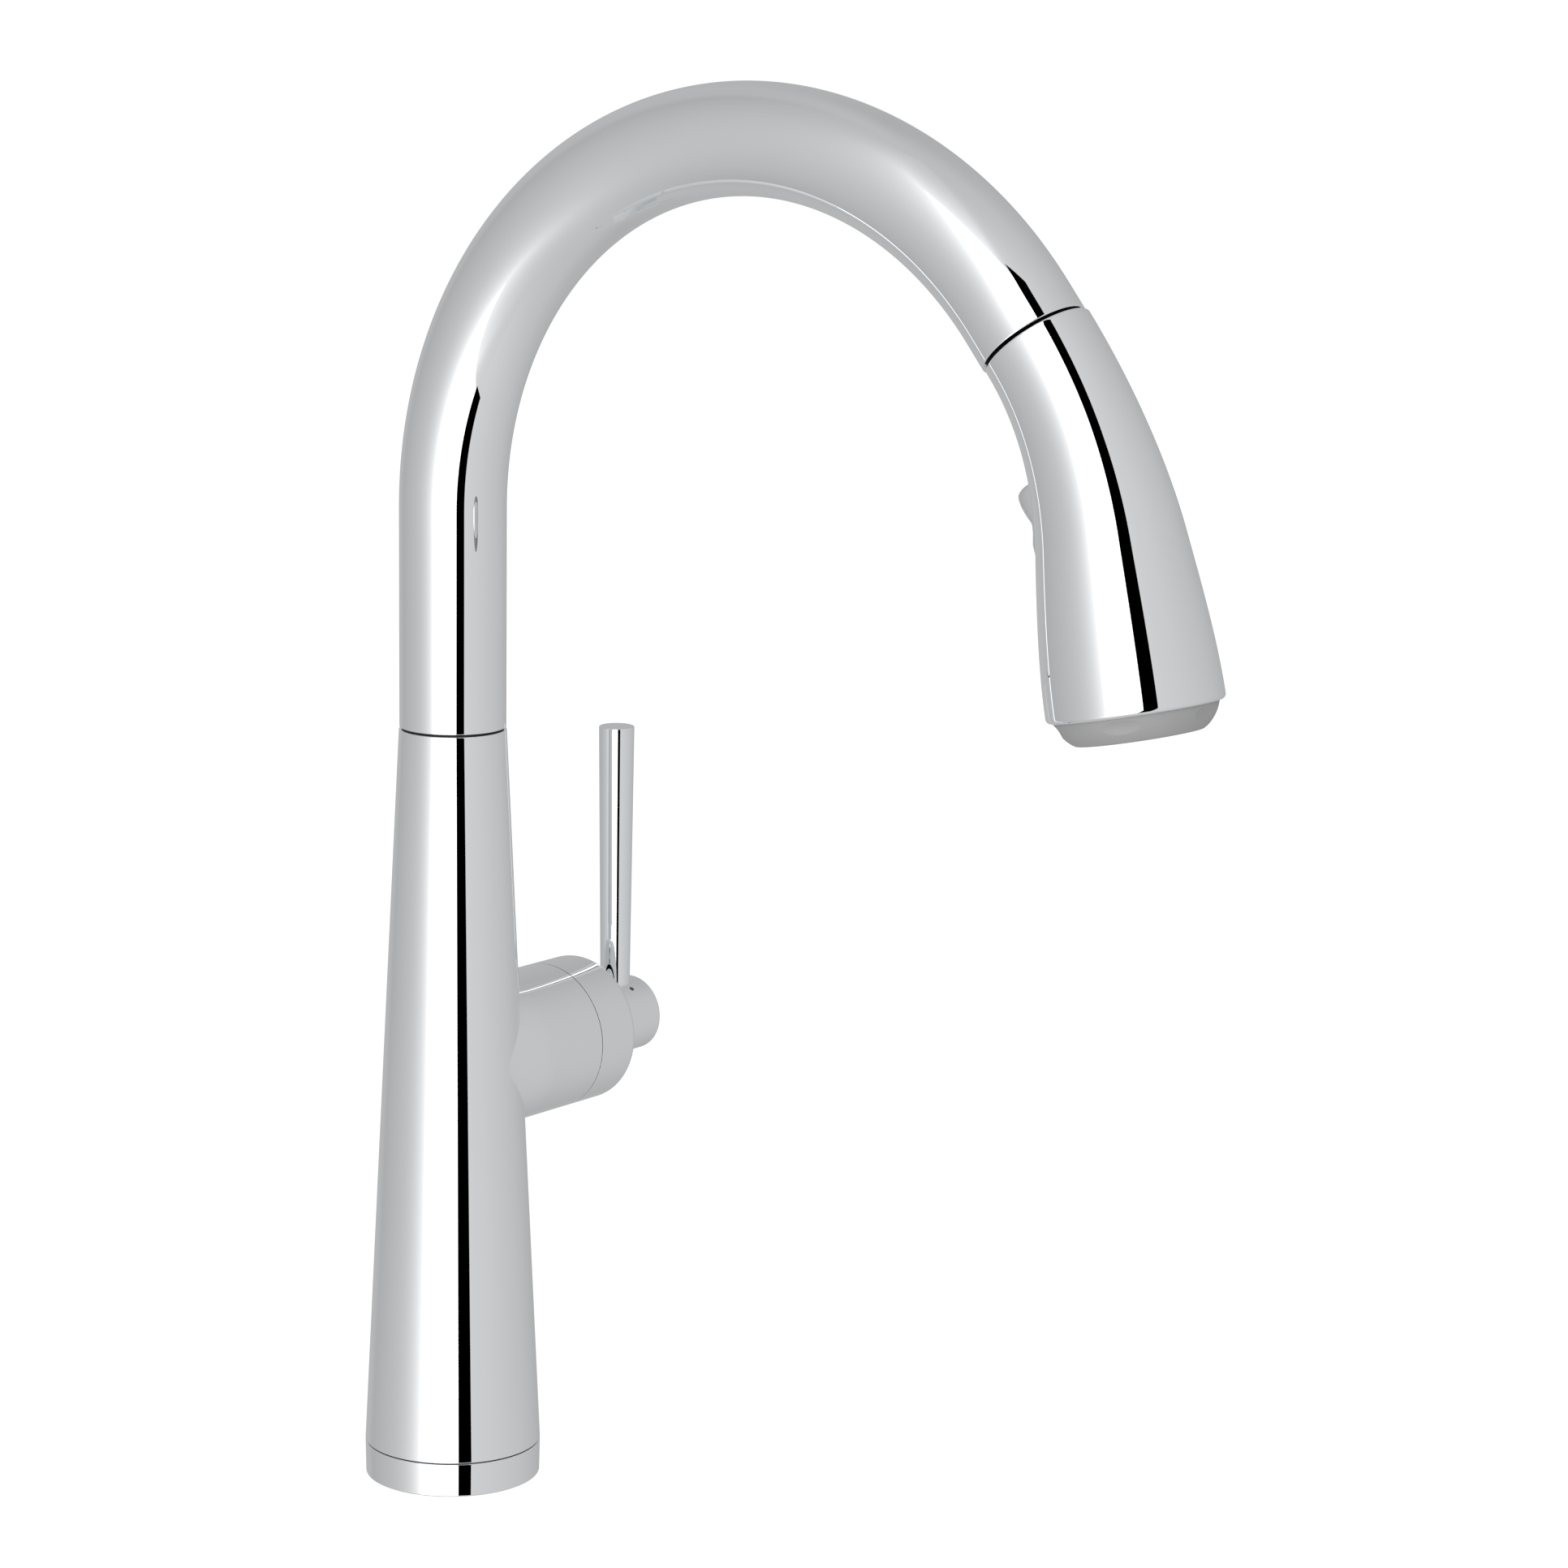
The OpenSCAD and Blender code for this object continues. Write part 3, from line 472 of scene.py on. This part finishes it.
# Round enamel dots let into the knob on both sides of the lever
STEPS, AROUND = 6, 40
for name, side in (("mark_dot_a", 1), ("mark_dot_b", -1)):
    verts, quads = [], []
    for level in (0.03, -0.45):
        for i in range(STEPS + 1):
            for j in range(AROUND):
                out, turn = MARK_R * i / STEPS, j * 2 * math.pi / AROUND
                arm = math.pi / 2 + side * (MARK_ANGLE + out * math.cos(turn) / KNOB_R)
                fall = 0.02 * (i == STEPS and level > 0)
                y = np.array(MARK_Y + out * math.sin(turn))
                verts.append(on_hub(y, KNOB_R + level - fall, np.array(arm)))
    layer = (STEPS + 1) * AROUND
    for base in (0, layer):
        for i in range(STEPS):
            for j in range(AROUND):
                k = (j + 1) % AROUND
                quads.append([base + i * AROUND + j, base + i * AROUND + k,
                              base + (i + 1) * AROUND + k, base + (i + 1) * AROUND + j])
    rim = STEPS * AROUND
    for j in range(AROUND):
        k = (j + 1) % AROUND
        quads.append([rim + j, rim + k, layer + rim + k, layer + rim + j])
    make(name, np.array(verts), quads, PAINTS["mark"], "handle", ["index_marks"], 60)

# ---- Neck ----

neck = rounded([
    (NECK_Z0, TUBE_R - TUBE_WALL), (NECK_Z0, TUBE_R, EDGE),
    (NECK_END, TUBE_R, EDGE), (NECK_END, TUBE_R - TUBE_WALL),
])
turned("neck_skin", dense(neck, 2.2), on_neck, CHROME, "spout", ["neck_tube"])

# ---- Spray head ----

HALF_W, HALF_L = TOGGLE_W / 2 + TOGGLE_GAP, TOGGLE_LEN / 2 + TOGGLE_GAP
SIDE_CELLS = 8  # angular cells from the toggle's middle to the edge of its opening


def head_angles(s):
    edge = math.asin(HALF_W / float(head_radius(np.array(s))))
    half = np.concatenate([np.linspace(0, edge, SIDE_CELLS + 1), np.linspace(edge, math.pi, 73)[1:]])
    return np.concatenate([half[:-1], 2 * math.pi - half[:0:-1]])


HEAD_SIDES = len(head_angles(0))


def toggle_hole(s, j):
    return abs(s - VALVE_S) < HALF_L and (j < SIDE_CELLS or j >= HEAD_SIDES - SIDE_CELLS)


LIP = 1.4
head_rows = []
for k in range(4):
    t = k / 3 * math.pi / 2
    s = 0.4 * (1 - math.cos(t))
    head_rows.append((s, float(head_radius(s)) - 0.4 * (1 - math.sin(t)), float(head_radius(s)) - HEAD_WALL))
stops = [1.2, VALVE_S - HALF_L, VALVE_S + HALF_L, HEAD_LEN - LIP]
for a0, a1 in zip(stops, stops[1:]):
    for s in np.linspace(a0, a1, max(2, round((a1 - a0) / 1.6)))[:-1]:
        head_rows.append((s, float(head_radius(s)), float(head_radius(s)) - HEAD_WALL))
for k in range(8):
    t = k / 7 * math.pi / 2
    s = HEAD_LEN - LIP * (1 - math.sin(t))
    head_rows.append((s, float(head_radius(s)) - LIP * (1 - math.cos(t)), float(head_radius(s)) - HEAD_WALL))
shell("head_skin", head_rows, on_head, head_angles, toggle_hole, CHROME, "head", ["head_shell"])


def dimples(s, r, a):
    """Finger dimples in the ring below the head: round cutters laid across its side."""
    pitch = 2 * math.pi / DIMPLES
    off = (a - DIMPLE_TURN + pitch / 2) % pitch - pitch / 2
    reach = DIMPLE_R**2 - (s - HEAD_LEN - DIMPLE_AXIS_S) ** 2
    cut = np.where(reach > 0, (DIMPLE_AXIS_R - np.sqrt(np.clip(reach, 0, None))) / np.cos(off), r)
    return np.where(r > PLATE_R + 0.2, np.minimum(r, cut), r)


bezel_axis = BEZEL_R - math.sqrt(BEZEL_CURVE**2 - BEZEL_RISE**2)
bezel = [(HEAD_LEN - 0.5, PLATE_R + 0.1), (HEAD_LEN - 0.5, BEZEL_R)]
bezel_turns = [math.asin(h / BEZEL_CURVE) for h in (BEZEL_RISE, BEZEL_RISE + BEZEL_H - 0.4)]
for t in np.linspace(*bezel_turns, 40):
    bezel.append((HEAD_LEN - BEZEL_RISE + BEZEL_CURVE * math.sin(t), bezel_axis + BEZEL_CURVE * math.cos(t)))
for t in np.linspace(0.25, 1, 4) * math.pi / 2:
    bezel.append((HEAD_LEN + BEZEL_H - 0.4 * (1 - math.sin(t)), BEZEL_R - 4.8 - 0.4 * (1 - math.cos(t))))
bezel += [(HEAD_LEN + BEZEL_H, PLATE_R + 0.4), (HEAD_LEN + BEZEL_H - 0.3, PLATE_R + 0.1)]
turned("bezel_skin", dense(np.array(bezel), 0.3), on_head, PAINTS["spray_grey"], "head", ["spray_bezel"],
       480, dimples)

# ---- Toggle ----


def toggle_height(z):
    """How far the toggle stands out of the head along its length, from its upper end to its lower end."""
    places = [-10.5, -10.1, -9.2, -8.0, -6.8, -5.0, -3.6, -2.2, -1.1, -0.2, 0.6, 2.5, 6.0, 9.3, 10.5]
    heights = [0.3, 1.5, 3.4, 4.8, 5.0, 4.65, 4.05, 3.3, 2.65, 2.0, 1.6, 1.6, 2.1, 1.4, 0.3]
    return np.interp(z, places, heights)


def smooth(values, rounds):
    for _ in range(rounds):
        values[1:-1] = (values[:-2] + 2 * values[1:-1] + values[2:]) / 4
    return values


LONG, WIDE = 106, 41
CORNER = 1.2  # rounding of the toggle's corners
along = np.linspace(-TOGGLE_LEN / 2, TOGGLE_LEN / 2, LONG)
rise = smooth(toggle_height(along), 3)
across = np.sin(np.linspace(-math.pi / 2, math.pi / 2, WIDE))
verts = []
for z, h in zip(along, rise):
    end_fade = min(1.0, math.sqrt(max(0.0, 1 - (abs(z) / (TOGGLE_LEN / 2)) ** 24)))
    past = max(0.0, abs(z) - TOGGLE_LEN / 2 + CORNER) / CORNER
    half = TOGGLE_W / 2 - CORNER + CORNER * math.sqrt(max(0.0, 1 - past**2))
    skin = float(head_radius(VALVE_S + z))
    for y in across:
        crown = max(0.0, 1 - abs(y) ** 14) ** 0.5
        dish = 0.35 * math.exp(-((z + 5.5) / 3.0) ** 2) * max(0.0, 1 - y * y)
        sag = skin - math.sqrt(skin**2 - (y * half) ** 2)
        face = (h + 1.0) * (0.25 + 0.75 * crown) * end_fade
        verts.append((VALVE_S + z, skin - sag * 0.6 - 1.0 + face - dish, y * half))
top = len(verts)
for i, z in enumerate(along):
    for j in range(WIDE):
        s, x, y = verts[i * WIDE + j]
        verts.append((s, min(x - 0.3, float(head_radius(VALVE_S + z)) - 3.4), y))
quads = []
for i in range(LONG - 1):
    for j in range(WIDE - 1):
        p, q = i * WIDE + j, i * WIDE + j + 1
        quads += [(p, q, q + WIDE, p + WIDE), (top + p, top + p + WIDE, top + q + WIDE, top + q)]
for i in range(LONG - 1):
    for j in (0, WIDE - 1):
        p, q = i * WIDE + j, (i + 1) * WIDE + j
        quads.append((p, q, top + q, top + p))
for j in range(WIDE - 1):
    for i in (0, LONG - 1):
        p, q = i * WIDE + j, i * WIDE + j + 1
        quads.append((p, q, top + q, top + p))
points = np.array(verts)
middle = on_head(np.array([VALVE_S]), np.array([0.0]), np.array([0.0]))[0]
lean = BEND_ANGLE + VALVE_S / HEAD_R
outward = np.array([math.cos(lean), 0, -math.sin(lean)])
down = np.array([math.sin(lean), 0, math.cos(lean)])
dz = points[:, :1] - VALVE_S
bowed = points[:, 1:2] + dz**2 / (2 * HEAD_R)
placed = middle + bowed * outward + dz * down + points[:, 2:3] * np.array([0, 1.0, 0])
make("toggle_skin", placed, quads, PAINTS["toggle_plastic"], "toggle", ["toggle_button"],
     50)

# ---- Spray hose where the head pulls out: it runs from inside the neck along the head's axis ----

hose = np.array([(-HOSE_IN, HOSE_BORE), (-HOSE_IN, HOSE_R), (HOSE_OUT, HOSE_R), (HOSE_OUT, HOSE_BORE)])
spray_hose = turned("spray_hose", dense(hose, 0.25), on_head, PAINTS["hose"], None, ["hose_in_head"],
                    48)
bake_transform(spray_hose)

# ---- Camera ----

AZIMUTH, PITCH, ROLL, LENS = 0.6544, 0.1931, 0.0135, 110.97
STAND = (0.9450, -1.0686, 0.4947)  # where the camera stands, in metres
ahead = math.cos(PITCH)
forward = Vector((-math.sin(AZIMUTH) * ahead, math.cos(AZIMUTH) * ahead, -math.sin(PITCH)))
level = Vector((math.cos(AZIMUTH), math.sin(AZIMUTH), 0))
upward = level.cross(forward)
right = level * math.cos(ROLL) + upward * math.sin(ROLL)
upward = upward * math.cos(ROLL) - level * math.sin(ROLL)
camera = bpy.data.objects.new("camera", bpy.data.cameras.new("camera"))
bpy.context.scene.collection.objects.link(camera)
camera.data.lens = LENS
camera.data.sensor_width = 36.0
camera.data.clip_start, camera.data.clip_end = 0.05, 30.0
camera.matrix_world = Matrix.Translation(STAND) @ Matrix((right, upward, -forward)).transposed().to_4x4()
bpy.context.scene.camera = camera

# ---- Studio: a pale room with one large white screen and a narrow black screen at its side ----


WHITE_TURN, WHITE_RISE = (-93.5, -34.0), (-37.0, 51.5)  # degrees covered by the white screen
GLOW_TURN = (-96.0, -62.0)


def studio():
    world = bpy.data.worlds.new("studio")
    bpy.context.scene.world = world
    world.use_nodes = True
    nodes, links = world.node_tree.nodes, world.node_tree.links
    nodes.clear()

    def node(kind, inputs=None, **settings):
        made = nodes.new(kind)
        for key, value in settings.items():
            setattr(made, key, value)
        for key, value in (inputs or {}).items():
            if isinstance(value, bpy.types.NodeSocket):
                links.new(value, made.inputs[key])
            else:
                made.inputs[key].default_value = value
        return made

    def sums(operation, *values):
        return node("ShaderNodeMath", dict(enumerate(values)), operation=operation).outputs[0]

    def ramp(value, low, high, to_low=0.0, to_high=1.0, smooth=True):
        inputs = {"Value": value, "From Min": low, "From Max": high, "To Min": to_low, "To Max": to_high}
        kind = "SMOOTHSTEP" if smooth else "LINEAR"
        return node("ShaderNodeMapRange", inputs, interpolation_type=kind).outputs["Result"]

    def within(value, low, high, soft):
        return sums("MULTIPLY", ramp(value, low - soft, low + soft), ramp(value, high + soft, high - soft))

    def mix(factor, one, two):
        keep = sums("MULTIPLY", one, sums("SUBTRACT", 1.0, factor))
        return sums("MULTIPLY_ADD", two, factor, keep)

    axes = node("ShaderNodeSeparateXYZ", {"Vector": node("ShaderNodeTexCoord").outputs["Generated"]}).outputs
    turn = sums("DEGREES", sums("ARCTAN2", axes["Y"], axes["X"]))
    rise = sums("DEGREES", sums("ARCSINE", axes["Z"]))

    # the room's walls, by compass direction in degrees from +X
    walls = node("ShaderNodeValToRGB", {"Fac": ramp(turn, -180.0, 180.0, smooth=False)})
    stops = [(-180, 0.44), (-145, 0.50), (-110, 0.555), (-50, 0.575), (-25, 0.645), (0, 0.63), (30, 0.585),
             (60, 0.54), (90, 0.48), (115, 0.44), (145, 0.49), (165, 0.485), (180, 0.44)]
    bar = walls.color_ramp.elements
    while len(bar) < len(stops):
        bar.new(0.5)
    for element, (degrees, level) in zip(bar, stops):
        element.position = (degrees + 180) / 360
        element.color = (level, level, level, 1)
    ends = ramp(sums("ABSOLUTE", rise), 45.0, 90.0)
    room = mix(ends, walls.outputs["Color"], 0.54)

    # glow round the white screen
    side = sums("MAXIMUM", sums("SUBTRACT", turn, GLOW_TURN[1]), 0.0)
    side = sums("MAXIMUM", sums("SUBTRACT", GLOW_TURN[0], turn), side)
    above = sums("MULTIPLY", sums("SUBTRACT", rise, WHITE_RISE[1]), 0.8)
    above = sums("MAXIMUM", sums("SUBTRACT", WHITE_RISE[0], rise), sums("MAXIMUM", above, 0.0))
    gap = sums("SQRT", sums("ADD", sums("MULTIPLY", side, side), sums("MULTIPLY", above, above)))
    glow = sums("MULTIPLY", 0.42, sums("EXPONENT", sums("DIVIDE", gap, -12.5)))
    room = sums("ADD", room, glow)

    white = sums("MULTIPLY", within(turn, *WHITE_TURN, 1.5), within(rise, *WHITE_RISE, 0.8))
    room = mix(white, room, 1.6)
    seen = node("ShaderNodeLightPath").outputs["Is Camera Ray"]
    light = node("ShaderNodeBackground", {"Color": room, "Strength": 1.0})
    backdrop = node("ShaderNodeBackground", {"Color": (1, 1, 1, 1), "Strength": 1.02})
    both = node("ShaderNodeMixShader", {0: seen, 1: light.outputs[0], 2: backdrop.outputs[0]})
    out = node("ShaderNodeOutputWorld")
    links.new(both.outputs[0], out.inputs["Surface"])


studio()


def card(name, azimuth, distance, widths, colour):
    """An upright screen that shows in reflections only, from (height, width) pairs upwards."""
    out = Vector((math.cos(azimuth), math.sin(azimuth), 0))
    side = Vector((-out.y, out.x, 0)) / 2
    mesh = bpy.data.meshes.new(name)
    edge = [(-width, z) for z, width in widths] + [(width, z) for z, width in reversed(widths)]
    corners = [tuple(out * distance + side * x + Vector((0, 0, z))) for x, z in edge]
    mesh.from_pydata(corners, [], [tuple(range(len(corners)))])
    screen = bpy.data.objects.new(name, mesh)
    bpy.context.scene.collection.objects.link(screen)
    paint = Paint(name, Roughness=1.0)
    paint.shader.inputs["Base Color"].default_value = colour
    paint.shader.inputs["Specular IOR Level"].default_value = 0.0
    mesh.materials.append(paint.material)
    screen.visible_camera = screen.visible_diffuse = screen.visible_shadow = False


card("black_card", math.radians(-32.9), 1.9, [(-1.15, 0.558), (1.66, 0.558), (2.87, 0.75)], rgb(0, 0, 0))

floor_mesh = bpy.data.meshes.new("floor")
FLOOR_HALF = 4  # half the floor's width, in metres
corners = [(x * FLOOR_HALF, y * FLOOR_HALF, 0) for x, y in ((-1, -1), (1, -1), (1, 1), (-1, 1))]
floor_mesh.from_pydata(corners, [], [(0, 1, 2, 3)])
floor = bpy.data.objects.new("floor", floor_mesh)
bpy.context.scene.collection.objects.link(floor)
floor.location.z = -0.0003
floor_paint = Paint("floor", Roughness=0.7)
floor_paint.shader.inputs["Base Color"].default_value = rgb(0.18, 0.18, 0.18)
floor_paint.shader.inputs["Specular IOR Level"].default_value = 0.0
floor_paint.shader.inputs["Emission Color"].default_value = rgb(1, 1, 1)
floor_paint.shader.inputs["Emission Strength"].default_value = 0.95
floor_mesh.materials.append(floor_paint.material)
floor.visible_glossy = floor.visible_diffuse = False

bpy.context.scene.view_settings.view_transform = "Standard"
bpy.context.scene.view_settings.look = "None"
